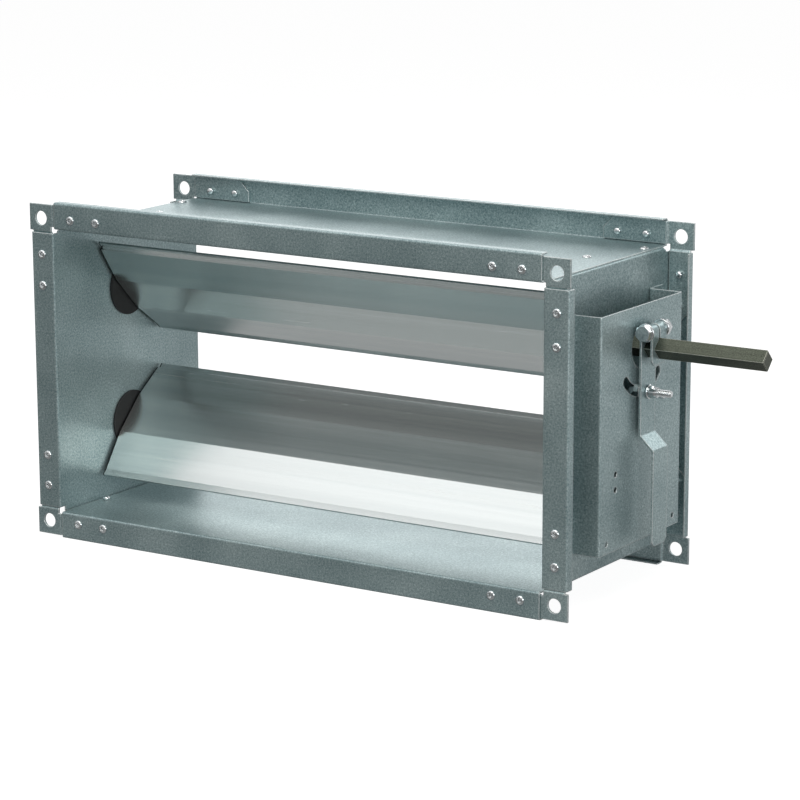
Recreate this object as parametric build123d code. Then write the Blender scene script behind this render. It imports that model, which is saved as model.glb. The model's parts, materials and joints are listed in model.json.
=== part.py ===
from build123d import *
from math import acos, cos, pi, radians, sin, sqrt, tan
import os

# Rectangular volume control damper with two opposed aluminium blades.
# X runs across the duct, Y along the air flow (the front flange is at Y = 0) and Z is up.
# The origin is the centre of the front flange's hole pattern, on its outer face.

# Duct casing
DUCT_W = 400.0            # clear width of the duct
BLADE_PITCH = 100.0       # distance between the two blade axes
EDGE_MARGIN = 2.5         # casing height left over beyond the blades, at the top and at the bottom
LENGTH = 170.0            # from one flange face to the other
SHEET = 1.0               # galvanised sheet thickness
BEND = 0.5                # inner bend radius of the casing sheet
RAIL = 19.2               # flange height, from the duct's inner face to the outside of the lip
LIP = 7.0                 # depth of the folded lip of a flange
RAIL_GAP = 1.3            # what a rail stops short of the duct's corner
SIDE_RAIL_INSET = 3.0     # what a side rail stops short of the casing's inner height
RELIEF = 6.0              # depth of the relief cut in the casing's corners, behind a flange face
TOP_TAB = 30.0            # side sheet folded under the top sheet
BOTTOM_TAB = 15.0         # side sheet folded under the bottom sheet
TAB_CLEAR = 1.0           # gap between a folded tab and the flange lip

# Corner brackets of the flanges
CORNER = 20.0             # square corner plate
CORNER_T = 1.5            # thickness of the corner bracket
CORNER_NOTCH = 5.0        # square notch at the plate's inner corner
LEG_LONG = 50.0           # leg length beyond the corner plate
LEG_CHAMFER = 8.0         # cut corner at the leg's end
LEG_PLAY = 0.2            # play between the leg and the rail's bends
JOGGLE = 1.5              # length of the step that brings the corner plate flush with the rails
BOLT_R = 5.0              # flange bolt hole
RIVET_NEAR = 16.0         # first rivet, from the corner plate's inner edge
RIVET_STEP = 22.3         # from the first rivet to the second

# Blind rivets
RIVET_R = 2.0
RIVET_HEAD_R = 3.3
RIVET_HEAD_H = 1.3
RIVET_TAIL_R = 2.7
RIVET_TAIL_L = 3.0
RIVET_CLEAR = 0.05
RIVET_SIDES = 8           # facets round a rivet and its hole
SEAM_RIVETS = ((23.0, 0.56), (6.5, 0.853))      # inset from the side and share of the length, top seam
FLOOR_RIVETS = ((7.5, 0.265), (7.5, 0.735))     # the same for the bottom seam

# Blades, drawn closed (standing upright)
BLADE_HALF = 50.5         # half of the blade's chord
BLADE_T = 14.4            # thickness at the middle
BLADE_FLAT = 32.0         # height of the flat middle facet
BLADE_WALL = 1.3          # extrusion wall
LAP = 5.0                 # height of the lapping edge lip
LAP_GAP = 0.3             # from the blade's middle plane to its lip
LAP_T = 1.6               # thickness of the lip
BLADE_END_GAP = 1.4       # from the blade's end to the casing wall
REST_ANGLE = 45.0         # the blades stand half open

# Square shafts and their bushes
BAR = 10.0                # square bar
BAR_CLEAR = 0.05          # play of the bar in a square hole
BAR_GRIP = 58.0           # length of bar inside the blade
STUB_OUT = 6.0            # what a plain stub stands out of the casing
BAR_OUT = 92.0            # length of drive bar beyond the bracket box's outer face
BUSH_FLANGE_R = 21.5
BUSH_FLANGE_T = 1.2
BUSH_R = 10.5
BUSH_SIDES = 36           # facets round a bush
BUSH_OUT = 4.0            # bush barrel outside the wall
RUN_CLEAR = 0.08          # running clearance of the bar's corners in the bush
SEAT_CLEAR = 0.05         # bush in the wall

# Toothed sectors that turn the blades opposite ways
SECTOR_MODULE = 2.0
SECTOR_HALF = 50.0        # half of the toothed angle, in degrees
SECTOR_T = 4.0
SECTOR_GAP = 6.0          # from the casing wall to the sector
HUB_R = 12.5
HUB_T = 8.0
BACKLASH = 0.12           # thinning of each tooth at the pitch line
PRESSURE = 20.0

# Bracket box outside the wall
BOX_STAND = 25.5          # from the casing's outer face to the box's outer face
BOX_W = 111.0
BOX_TOP = 78.0
BOX_BOTTOM = -82.0
BOX_FOOT = 18.0
BOX_HOLE_R = 14.5         # round the drive bar
SLOT_R = 30.0             # arc slot for the lock bolt
SLOT_W = 7.0
SLOT_HALF = 47.0          # degrees either side of straight down
PILOT_R = 1.8             # holes at the box's lower corners
PILOT_IN = 9.5            # from the box's side
PILOT_UP = 7.0            # from the box's bottom edge
STOP_HOLE_R = 2.0         # pair of holes beside the lever
STOP_HOLE_IN = 21.0       # from the box's front side
STOP_HOLES_Z = (-30.0, -40.5)
FOOT_RIVET_END = 18.0     # from the foot's end

# Lever folded over its clamp bolt
LEVER_W = 20.0
LEVER_T = 1.5
LEVER_STAND = 3.3         # from the box's outer face to the lever's back
FOLD_CLEAR = 0.2          # from the clamp bolt to the inside of the fold
CLAMP_UP = 11.5           # clamp bolt above the bar's axis
SLIT = 2.0                # cut between the two curled eyes
LEG_DOWN = 10.5           # end of the outer leg, below the bar's axis
JOG_TOP = 58.0            # upper bend of the outward step, below the bar's axis
JOG_DROP = 9.5
JOG_OUT = 10.0
LEVER_DOWN = 133.0        # lower end of the lever, below the bar's axis
LEVER_BEND = 1.5
LEVER_CHAMFER = 3.0

# Clamp bolt and its nut
CLAMP_R = 3.0
CLAMP_HEX = 10.0          # across flats
CLAMP_HEAD = 4.0
CLAMP_NUT = 5.0
CLAMP_WASHER_R = 6.3
CLAMP_WASHER_T = 1.4
CLAMP_TAIL = 2.5          # thread beyond the nut
SCREW_CLEAR = 0.1         # round a screw in its hole
WASHER_SIDES = 18         # facets round a washer

# Lock bolt and its wing nut
LOCK_R = 2.5
LOCK_HEX = 8.0            # across flats
LOCK_HEAD = 3.5
LOCK_WASHER_R = 5.0       # under the wing nut
WIDE_WASHER_R = 7.0       # between the lever and the box
LOCK_TAIL = 10.5          # lock bolt beyond the wing nut's body
LOCK_GAP = 0.05
WING_R = 4.3
WING_H = 5.5
WING_REACH = 9.2
WING_LOBE = 2.6
WING_T = 2.0
WING_SIDES = 20           # facets round the wing nut's body
WING_TURN = 57.0          # the wings' angle from upright

# Places that follow from the sizes above
HALF_W = DUCT_W / 2
HALF_H = BLADE_PITCH + EDGE_MARGIN
WALL_X = HALF_W + SHEET
AXIS_Y = LENGTH / 2
AXIS_Z = BLADE_PITCH / 2
CORNER_X = HALF_W
CORNER_Z = BLADE_PITCH
BOLT_X = CORNER_X + CORNER / 2
BOLT_Z = CORNER_Z + CORNER / 2
RAIL_X = HALF_W - RAIL_GAP
RAIL_Z = HALF_H - SIDE_RAIL_INSET
LEG_BACK = SHEET + CORNER_T
BLADE_END = HALF_W - BLADE_END_GAP
BOX_FACE = WALL_X + BOX_STAND
BOX_FRONT = AXIS_Y - BOX_W / 2
BOX_REAR = AXIS_Y + BOX_W / 2
LEVER_BACK = BOX_FACE + LEVER_STAND
LEVER_FACE = LEVER_BACK + LEVER_T
CLAMP_Z = AXIS_Z + CLAMP_UP
FOLD_R = CLAMP_R + FOLD_CLEAR
CLAMP_X = LEVER_FACE + FOLD_R
LOCK_Z = AXIS_Z - SLOT_R
SECTOR_X = WALL_X + SECTOR_GAP


def plane_at(axis, place):
    """Work plane square to an axis, whose extrusion runs along the positive axis."""
    if axis == "x":
        return Plane(origin=(place, 0, 0), x_dir=(0, 1, 0), z_dir=(1, 0, 0))
    if axis == "y":
        return Plane(origin=(0, place, 0), x_dir=(0, 0, 1), z_dir=(0, 1, 0))
    return Plane(origin=(0, 0, place), x_dir=(1, 0, 0), z_dir=(0, 0, 1))


def prism(axis, start, end, points):
    """Solid of a polygon. Its points are (y, z), (z, x) or (x, y) for the axes x, y and z."""
    face = make_face(Polyline(*points, close=True))
    return extrude(plane_at(axis, start) * face, amount=end - start)


def block(x0, x1, y0, y1, z0, z1):
    """Rectangular solid between two opposite corners."""
    return prism("z", z0, z1, [(x0, y0), (x1, y0), (x1, y1), (x0, y1)])


def rod(axis, start, end, u, v, radius):
    """Round bar along an axis, centred on the plane's point (u, v)."""
    return extrude(plane_at(axis, start) * Pos(u, v) * Circle(radius), amount=end - start)


def folded(axis, start, end, path, thickness, side=Side.LEFT):
    """Sheet of constant thickness that follows a wire, extruded along an axis."""
    outline = offset(path, amount=thickness, side=side, kind=Kind.ARC)
    face = make_face(outline.wires()[0])
    return extrude(plane_at(axis, start) * face, amount=end - start)


def mirrored(shape, flip_x=False, flip_y=False, flip_z=False):
    """Copy of a shape on the other side of the casing's middle planes."""
    if flip_x:
        shape = mirror(shape, about=Plane.YZ)
    if flip_y:
        shape = mirror(shape, about=Plane.XZ.offset(-AXIS_Y))
    if flip_z:
        shape = mirror(shape, about=Plane.XY)
    return shape


def rivet_offsets():
    """Distances of a bracket leg's two rivets from the corner plate's inner edge."""
    return (RIVET_NEAR, RIVET_NEAR + RIVET_STEP)


def rivet_bore(axis, start, end, u, v):
    """Clearance hole of a rivet, with flats that stay clear of the shank."""
    shape = RegularPolygon(RIVET_R + RIVET_CLEAR, RIVET_SIDES, major_radius=False)
    return extrude(plane_at(axis, start) * Pos(u, v) * shape, amount=end - start)


def flange_path(height, swap=False):
    """Wire of a panel's section: lip, rail, casing wall, rail and lip."""
    top = height + RAIL
    points = [(LIP, top), (0, top), (0, height), (LENGTH, height), (LENGTH, top), (LENGTH - LIP, top)]
    if swap:
        points = [(v, u) for u, v in points]
    return FilletPolyline(*points, radius=BEND + SHEET)


def top_panel(half_width, rivets):
    """Top or bottom sheet with its two flange rails, drawn as the top one."""
    section = flange_path(HALF_H)
    panel = folded("x", -RAIL_X, RAIL_X, section, SHEET)
    panel += block(-half_width, half_width, RELIEF, LENGTH - RELIEF, HALF_H, HALF_H + SHEET)
    for across in rivet_offsets():
        for x in (CORNER_X - across, across - CORNER_X):
            panel -= rivet_bore("y", 0, LENGTH, BOLT_Z, x)
    for inset, share in rivets:
        for x in (WALL_X - inset, inset - WALL_X):
            panel -= rivet_bore("z", HALF_H, HALF_H + SHEET, x, share * LENGTH)
    return panel


def side_panel(drive_side):
    """Side sheet with its flange rails and folded tabs, drawn on the +X side."""
    section = flange_path(HALF_W, swap=True)
    panel = folded("z", -RAIL_Z, RAIL_Z, section, SHEET, side=Side.RIGHT)
    floor = -HALF_H - 2 * SHEET
    tabs = FilletPolyline(
        (HALF_H, WALL_X - TOP_TAB), (HALF_H, WALL_X), (floor, WALL_X), (floor, WALL_X - BOTTOM_TAB),
        radius=BEND + SHEET)
    edge = LIP + TAB_CLEAR
    panel += folded("y", edge, LENGTH - edge, tabs, SHEET, side=Side.LEFT)
    bend = BEND + SHEET
    panel += block(HALF_W, WALL_X, RELIEF, LENGTH - RELIEF, bend - HALF_H - 2 * SHEET, HALF_H - bend)
    for up in rivet_offsets():
        for z in (CORNER_Z - up, up - CORNER_Z):
            panel -= rivet_bore("y", 0, LENGTH, z, BOLT_X)
    for inset, share in SEAM_RIVETS:
        panel -= rivet_bore("z", HALF_H - SHEET, HALF_H, WALL_X - inset, share * LENGTH)
    for inset, share in FLOOR_RIVETS:
        panel -= rivet_bore("z", floor, floor + SHEET, WALL_X - inset, share * LENGTH)
    for z in (-AXIS_Z, AXIS_Z):
        panel -= rod("x", HALF_W, WALL_X, AXIS_Y, z, BUSH_R + SEAT_CLEAR)
    if drive_side:
        for y, z in foot_rivets():
            panel -= rivet_bore("x", HALF_W, WALL_X, y, z)
    return panel


def corner_leg(start, near, far, width_lo, width_hi, along):
    """One leg of a corner bracket: the flat strip behind a rail and the step to the plate."""
    end = near - LEG_LONG
    strip = [
        (end, width_lo), (start, width_lo), (start, width_hi),
        (end + LEG_CHAMFER, width_hi), (end, width_hi - LEG_CHAMFER)]
    step = [
        (start, SHEET), (start, LEG_BACK), (start + JOGGLE, CORNER_T), (far, CORNER_T), (far, 0),
        (start + JOGGLE, 0)]
    if along == "x":
        leg = prism("y", SHEET, LEG_BACK, [(v, u) for u, v in strip])
        leg += prism("z", width_lo, width_hi, step)
    else:
        leg = prism("y", SHEET, LEG_BACK, strip)
        leg += prism("x", width_lo, width_hi, [(v, u) for u, v in step])
    return leg


def corner_bracket():
    """L-shaped corner bracket of the front flange at +X and +Z."""
    fold = SHEET + BEND + LEG_PLAY
    top_in = HALF_H + fold
    top_out = HALF_H + RAIL - fold
    side_in = HALF_W + fold
    side_out = HALF_W + RAIL - fold
    x_step = RAIL_X + LOCK_GAP
    z_step = RAIL_Z + LOCK_GAP
    outer_x = CORNER_X + CORNER
    outer_z = CORNER_Z + CORNER
    notch_x = CORNER_X + CORNER_NOTCH
    notch_z = CORNER_Z + CORNER_NOTCH
    plate = prism("y", 0, CORNER_T, [
        (z_step + JOGGLE, notch_x), (z_step + JOGGLE, outer_x), (outer_z, outer_x),
        (outer_z, x_step + JOGGLE), (notch_z, x_step + JOGGLE), (notch_z, notch_x)])
    bracket = plate
    bracket += corner_leg(x_step, CORNER_X, notch_x, top_in, top_out, "x")
    bracket += corner_leg(z_step, CORNER_Z, notch_z, side_in, side_out, "z")
    bracket -= rod("y", 0, LEG_BACK, BOLT_Z, BOLT_X, BOLT_R)
    for away in rivet_offsets():
        bracket -= rivet_bore("y", 0, LEG_BACK, BOLT_Z, CORNER_X - away)
        bracket -= rivet_bore("y", 0, LEG_BACK, CORNER_Z - away, BOLT_X)
    return bracket


def rivet(grip):
    """Blind rivet along +Z, its head above Z = 0 and its tail beyond the grip below it."""
    head = extrude(RegularPolygon(RIVET_HEAD_R, RIVET_SIDES), amount=RIVET_HEAD_H, taper=40)
    shank = Pos(0, 0, -grip) * extrude(RegularPolygon(RIVET_R, RIVET_SIDES), amount=grip)
    tail = Pos(0, 0, -grip - RIVET_TAIL_L) * extrude(
        RegularPolygon(RIVET_TAIL_R, RIVET_SIDES), amount=RIVET_TAIL_L)
    return head + shank + tail


def flange_rivets():
    """All sixteen rivets of the front flange, heads forward."""
    one = Rotation(90, 0, 0) * rivet(LEG_BACK)
    group = []
    for away in rivet_offsets():
        for sx in (-1, 1):
            for sz in (-1, 1):
                group.append(Pos(sx * (CORNER_X - away), 0, sz * BOLT_Z) * one)
                group.append(Pos(sx * BOLT_X, 0, sz * (CORNER_Z - away)) * one)
    return group


def seam_rivets():
    """Rivets that join the side sheets' tabs to the top and bottom sheets."""
    up = rivet(2 * SHEET)
    down = Rotation(180, 0, 0) * up
    group = []
    for side in (-1, 1):
        for inset, share in SEAM_RIVETS:
            group.append(Pos(side * (WALL_X - inset), share * LENGTH, HALF_H + SHEET) * up)
        for inset, share in FLOOR_RIVETS:
            group.append(Pos(side * (WALL_X - inset), share * LENGTH, -HALF_H - 2 * SHEET) * down)
    return group


def foot_rivets():
    """Centres (y, z) of the rivets through the bracket box's feet."""
    rows = (BOX_FRONT - BOX_FOOT / 2, BOX_REAR + BOX_FOOT / 2)
    return [(y, z) for y in rows for z in (BOX_BOTTOM + FOOT_RIVET_END, BOX_TOP - FOOT_RIVET_END)]


def bush(z):
    """Flanged plastic bush of a blade axis in the +X wall."""
    inner = HALF_W - BUSH_FLANGE_T
    flange = Pos(AXIS_Y, z) * RegularPolygon(BUSH_FLANGE_R, BUSH_SIDES)
    barrel = Pos(AXIS_Y, z) * RegularPolygon(BUSH_R, BUSH_SIDES)
    body = extrude(plane_at("x", inner) * flange, amount=BUSH_FLANGE_T)
    body += extrude(plane_at("x", HALF_W) * barrel, amount=SHEET + BUSH_OUT)
    bore = BAR / sqrt(2) + RUN_CLEAR
    return body - rod("x", inner, WALL_X + BUSH_OUT, AXIS_Y, z, bore)


def square_bar(start, end, z, turn, side=BAR, bevel=0.0):
    """Square bar along X on a blade axis; turn is its angle from square."""
    bar = Pos(start, AXIS_Y, z) * Rotation(turn, 0, 0) * Box(
        end - start, side, side, align=(Align.MIN, Align.CENTER, Align.CENTER))
    if bevel:
        bar = chamfer(bar.faces().sort_by(Axis.X)[-1].edges(), bevel)
    return bar


def blade_section():
    """Outline of a closed blade and of its three hollows, as faces over (y, z)."""
    thick = BLADE_T / 2
    flat = BLADE_FLAT / 2
    edge = BLADE_HALF - LAP
    lip = LAP_GAP + LAP_T
    half = [
        (LAP_GAP, BLADE_HALF), (LAP_GAP, edge), (-lip, edge), (-thick, flat), (-thick, -flat),
        (-lip, -edge), (-lip, -BLADE_HALF)]
    outline = half + [(-y, -z) for y, z in half]
    face = make_face(Polyline(*outline, close=True))
    slope = (thick - lip) / (edge - flat)
    inside = thick - BLADE_WALL
    web = BAR / 2 + BAR_CLEAR + BLADE_WALL
    tip = LAP_T * 0.5
    reach = flat + (inside - tip) / slope
    for sign in (-1, 1):
        hollow = [
            (-inside, sign * web), (inside, sign * web), (inside, sign * flat),
            (tip, sign * reach), (-tip, sign * reach), (-inside, sign * flat)]
        face -= make_face(Polyline(*hollow, close=True))
    return face - Rectangle(BAR + 2 * BAR_CLEAR, BAR + 2 * BAR_CLEAR)


def blade(z, turn):
    """Extruded blade on its axis, turned away from closed."""
    solid = extrude(plane_at("x", -BLADE_END) * blade_section(), amount=2 * BLADE_END)
    return Pos(0, AXIS_Y, z) * Rotation(turn, 0, 0) * solid


def tooth_half_angle(radius, pitch_radius, teeth):
    """Half of a tooth's angle at a radius, from the involute of its base circle."""
    pressure = radians(PRESSURE)
    local = acos(min(1.0, pitch_radius * cos(pressure) / radius))
    thinning = BACKLASH / (2 * pitch_radius)
    return pi / (2 * teeth) - thinning + (tan(pressure) - pressure) - (tan(local) - local)


def sector(z, middle, phase, turn):
    """Toothed sector on a square bar; middle is the angle that its teeth face."""
    pitch_radius = BLADE_PITCH / 2
    teeth = round(2 * pitch_radius / SECTOR_MODULE)
    pitch = 2 * pi / teeth
    root = pitch_radius - 1.25 * SECTOR_MODULE
    crown = pitch_radius + 0.95 * SECTOR_MODULE
    levels = [root, root + 0.35 * (crown - root), root + 0.7 * (crown - root), crown]
    count = int(radians(SECTOR_HALF) / pitch)
    outline = []
    for index in range(-count, count + 1):
        centre = radians(middle) + (index + phase) * pitch
        left = [(r, centre - tooth_half_angle(r, pitch_radius, teeth)) for r in levels]
        right = [(r, centre + tooth_half_angle(r, pitch_radius, teeth)) for r in reversed(levels)]
        outline += left + right
    outline = [(r * cos(a), r * sin(a)) for r, a in outline]
    face = make_face(Polyline((0, 0), *outline, close=True))
    window = CenterArc((0, 0), (root + HUB_R) / 2, middle - 26, 52)
    face -= SlotArc(window, (root - HUB_R) * 0.5)
    gear = extrude(plane_at("x", SECTOR_X) * face, amount=SECTOR_T)
    gear += rod("x", SECTOR_X, SECTOR_X + HUB_T, 0, 0, HUB_R)
    gear = Pos(0, AXIS_Y, z) * gear
    return gear - square_bar(SECTOR_X, SECTOR_X + HUB_T, z, turn, BAR + 2 * BAR_CLEAR)


def bracket_box():
    """Hat-section bracket that carries the lever's slotted face."""
    foot = WALL_X + SHEET
    points = [
        (foot, BOX_FRONT - BOX_FOOT), (foot, BOX_FRONT), (BOX_FACE, BOX_FRONT),
        (BOX_FACE, BOX_REAR), (foot, BOX_REAR), (foot, BOX_REAR + BOX_FOOT)]
    path = FilletPolyline(*points, radius=BEND + SHEET)
    box = folded("z", BOX_BOTTOM, BOX_TOP, path, SHEET, side=Side.LEFT)
    inner = BOX_FACE - SHEET
    box -= rod("x", inner, BOX_FACE, AXIS_Y, AXIS_Z, BOX_HOLE_R)
    arc = CenterArc((AXIS_Y, AXIS_Z), SLOT_R, -90 - SLOT_HALF, 2 * SLOT_HALF)
    box -= extrude(plane_at("x", inner) * SlotArc(arc, SLOT_W), amount=SHEET)
    for y in (BOX_FRONT + PILOT_IN, BOX_REAR - PILOT_IN):
        box -= rod("x", inner, BOX_FACE, y, BOX_BOTTOM + PILOT_UP, PILOT_R)
    for z in STOP_HOLES_Z:
        box -= rod("x", inner, BOX_FACE, BOX_FRONT + STOP_HOLE_IN, z, STOP_HOLE_R)
    for y, z in foot_rivets():
        box -= rivet_bore("x", WALL_X, foot, y, z)
    return box


def lever():
    """Lever strip: folded over the clamp bolt, split into two eyes and stepped outward."""
    outer = LEVER_FACE + 2 * FOLD_R
    end = AXIS_Z - LEVER_DOWN
    jog = AXIS_Z - JOG_TOP
    crest = (CLAMP_Z + FOLD_R, CLAMP_X)
    up = Line((AXIS_Z - LEG_DOWN, outer), (CLAMP_Z, outer))
    over = ThreePointArc((CLAMP_Z, outer), crest, (CLAMP_Z, LEVER_FACE))
    down = FilletPolyline(
        (CLAMP_Z, LEVER_FACE), (jog, LEVER_FACE), (jog - JOG_DROP, LEVER_FACE + JOG_OUT),
        (end, LEVER_FACE + JOG_OUT), radius=LEVER_BEND)
    path = Wire([up, over] + list(down.edges()))
    front = AXIS_Y - LEVER_W / 2
    rear = AXIS_Y + LEVER_W / 2
    strip = folded("y", front, rear, path, LEVER_T, side=Side.LEFT)
    strip -= square_bar(LEVER_BACK, outer + LEVER_T, AXIS_Z, REST_ANGLE, BAR + 2 * BAR_CLEAR)
    strip -= block(
        LEVER_BACK, outer + LEVER_T, AXIS_Y - SLIT / 2, AXIS_Y + SLIT / 2,
        AXIS_Z, CLAMP_Z + FOLD_R + LEVER_T)
    ends = ((LEVER_FACE, LEVER_FACE + JOG_OUT, end), (CLAMP_X, outer + LEVER_T, AXIS_Z - LEG_DOWN))
    for back, face, tip in ends:
        for side in (-1, 1):
            edge = AXIS_Y + side * LEVER_W / 2
            inward = edge - side * LEVER_CHAMFER
            strip -= prism("x", back, face, [(inward, tip), (edge, tip), (edge, tip + LEVER_CHAMFER)])
    return strip - rod("x", LEVER_BACK, LEVER_FACE, AXIS_Y, LOCK_Z, LOCK_R + SCREW_CLEAR)


def hexagon(axis, start, end, u, v, across, turn=0.0):
    """Hexagonal prism of a screw head or a nut."""
    shape = RegularPolygon(across / 2, 6, major_radius=False, rotation=turn)
    return extrude(plane_at(axis, start) * Pos(u, v) * shape, amount=end - start)


def washer(axis, start, end, u, v, radius, screw):
    """Flat washer on a screw of a given radius."""
    ring = RegularPolygon(radius, WASHER_SIDES)
    ring -= RegularPolygon(screw + SCREW_CLEAR, WASHER_SIDES, major_radius=False)
    return extrude(plane_at(axis, start) * Pos(u, v) * ring, amount=end - start)


def clamp_parts():
    """Clamp bolt, nut and the two washers beside the lever's eyes."""
    front = AXIS_Y - LEVER_W / 2
    rear = AXIS_Y + LEVER_W / 2
    head = front - CLAMP_WASHER_T
    nut = rear + CLAMP_WASHER_T
    nut_end = nut + CLAMP_NUT
    bolt = hexagon("y", head - CLAMP_HEAD, head, CLAMP_Z, CLAMP_X, CLAMP_HEX, 12)
    bolt += rod("y", head, nut_end + CLAMP_TAIL, CLAMP_Z, CLAMP_X, CLAMP_R)
    nut_body = hexagon("y", nut, nut_end, CLAMP_Z, CLAMP_X, CLAMP_HEX, 25)
    nut_body -= rod("y", nut, nut_end, CLAMP_Z, CLAMP_X, CLAMP_R + SCREW_CLEAR)
    washers = [
        washer("y", start, end, CLAMP_Z, CLAMP_X, CLAMP_WASHER_R, CLAMP_R)
        for start, end in ((head, front), (rear, nut))]
    return bolt, nut_body, washers


def wing_nut(seat, end):
    """Wing nut on the lock bolt, standing on its seat; its bore runs out at the bolt's end."""
    body = RegularPolygon(WING_R, WING_SIDES)
    nut = extrude(plane_at("x", seat) * body, amount=WING_H, taper=8)
    inward = WING_REACH - WING_LOBE
    top = seat + WING_H
    for side in (-1, 1):
        lobe = Pos(side * inward, top - WING_LOBE / 4) * RegularPolygon(WING_LOBE, WING_SIDES)
        root = make_face(Polyline(
            (side, seat + WING_H / 4), (side * inward, top - WING_LOBE), (side * inward, top + WING_LOBE / 2),
            (side, top), close=True))
        nut += extrude(plane_at("y", -WING_T / 2) * (lobe + root), amount=WING_T)
    nut -= rod("x", seat, end, 0, 0, LOCK_R + SCREW_CLEAR)
    return Pos(0, AXIS_Y, LOCK_Z) * Rotation(WING_TURN, 0, 0) * nut


def lock_parts():
    """Lock bolt through the arc slot, its washers and its wing nut."""
    inner = BOX_FACE - SHEET - LOCK_GAP
    thick = (LEVER_STAND - 3 * LOCK_GAP) / 2
    first = BOX_FACE + LOCK_GAP
    stack = (
        (first, WIDE_WASHER_R), (first + thick + LOCK_GAP, WIDE_WASHER_R),
        (LEVER_FACE + LOCK_GAP, LOCK_WASHER_R))
    washers = [washer("x", start, start + thick, AXIS_Y, LOCK_Z, radius, LOCK_R) for start, radius in stack]
    seat = LEVER_FACE + thick + 2 * LOCK_GAP
    end = seat + WING_H + LOCK_TAIL
    bolt = hexagon("x", inner - LOCK_HEAD, inner, AXIS_Y, LOCK_Z, LOCK_HEX)
    bolt += rod("x", inner, end, AXIS_Y, LOCK_Z, LOCK_R)
    return bolt, washers, wing_nut(seat, end)


def write(name, shape):
    """Write one node's STEP file."""
    solid = Compound(children=list(shape)) if isinstance(shape, list) else shape
    export_step(solid, f"parts/{name}.step")


os.makedirs("parts", exist_ok=True)

write("casing_top", top_panel(WALL_X - BEND - SHEET, SEAM_RIVETS))
write("casing_bottom", mirrored(top_panel(RAIL_X, FLOOR_RIVETS), flip_z=True))
write("casing_right", side_panel(True))
write("casing_left", mirrored(side_panel(False), flip_x=True))

corner = corner_bracket()
for end_name, rear in (("front", False), ("rear", True)):
    for level, low in (("top", False), ("bottom", True)):
        for hand, left in (("right", False), ("left", True)):
            write(f"corner_{end_name}_{level}_{hand}", mirrored(corner, left, rear, low))
write("rivets_front_flange", flange_rivets())
write("rivets_rear_flange", [mirrored(item, flip_y=True) for item in flange_rivets()])
write("rivets_seams", seam_rivets())

for level, height in (("upper", AXIS_Z), ("lower", -AXIS_Z)):
    write(f"bush_right_{level}", bush(height))
    write(f"bush_left_{level}", mirrored(bush(height), flip_x=True))

write("bracket_box", bracket_box())
foot_rivet = Rotation(0, 90, 0) * rivet(2 * SHEET)
write("rivets_bracket", [Pos(WALL_X + SHEET, y, z) * foot_rivet for y, z in foot_rivets()])

grip = BLADE_END - BAR_GRIP
stub_end = WALL_X + STUB_OUT
write("blade_upper", blade(AXIS_Z, REST_ANGLE))
write("blade_lower", blade(-AXIS_Z, -REST_ANGLE))
write("drive_bar", square_bar(grip, BOX_FACE + BAR_OUT, AXIS_Z, REST_ANGLE, bevel=0.5))
write("stub_upper_left", mirrored(square_bar(grip, stub_end, AXIS_Z, REST_ANGLE), flip_x=True))
write("stub_lower_left", mirrored(square_bar(grip, stub_end, -AXIS_Z, REST_ANGLE), flip_x=True))
write("stub_lower_right", square_bar(grip, SECTOR_X + HUB_T, -AXIS_Z, REST_ANGLE))
write("sector_upper", sector(AXIS_Z, -90, 0.0, REST_ANGLE))
write("sector_lower", sector(-AXIS_Z, 90, 0.5, REST_ANGLE))

write("lever", lever())
clamp_bolt, clamp_nut, clamp_washers = clamp_parts()
write("clamp_bolt", clamp_bolt)
write("clamp_nut", clamp_nut)
write("clamp_washers", clamp_washers)
lock_bolt, lock_washers, lock_nut = lock_parts()
write("lock_bolt", lock_bolt)
write("lock_washers", lock_washers)
write("wing_nut", lock_nut)
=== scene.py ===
"""Visual model of a rectangular volume control damper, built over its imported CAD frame."""

import json
import logging
import math
from dataclasses import dataclass, field
from enum import Enum
from typing import Callable, Iterable, Sequence

import bmesh
import bpy
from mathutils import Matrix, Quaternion, Vector

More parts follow.
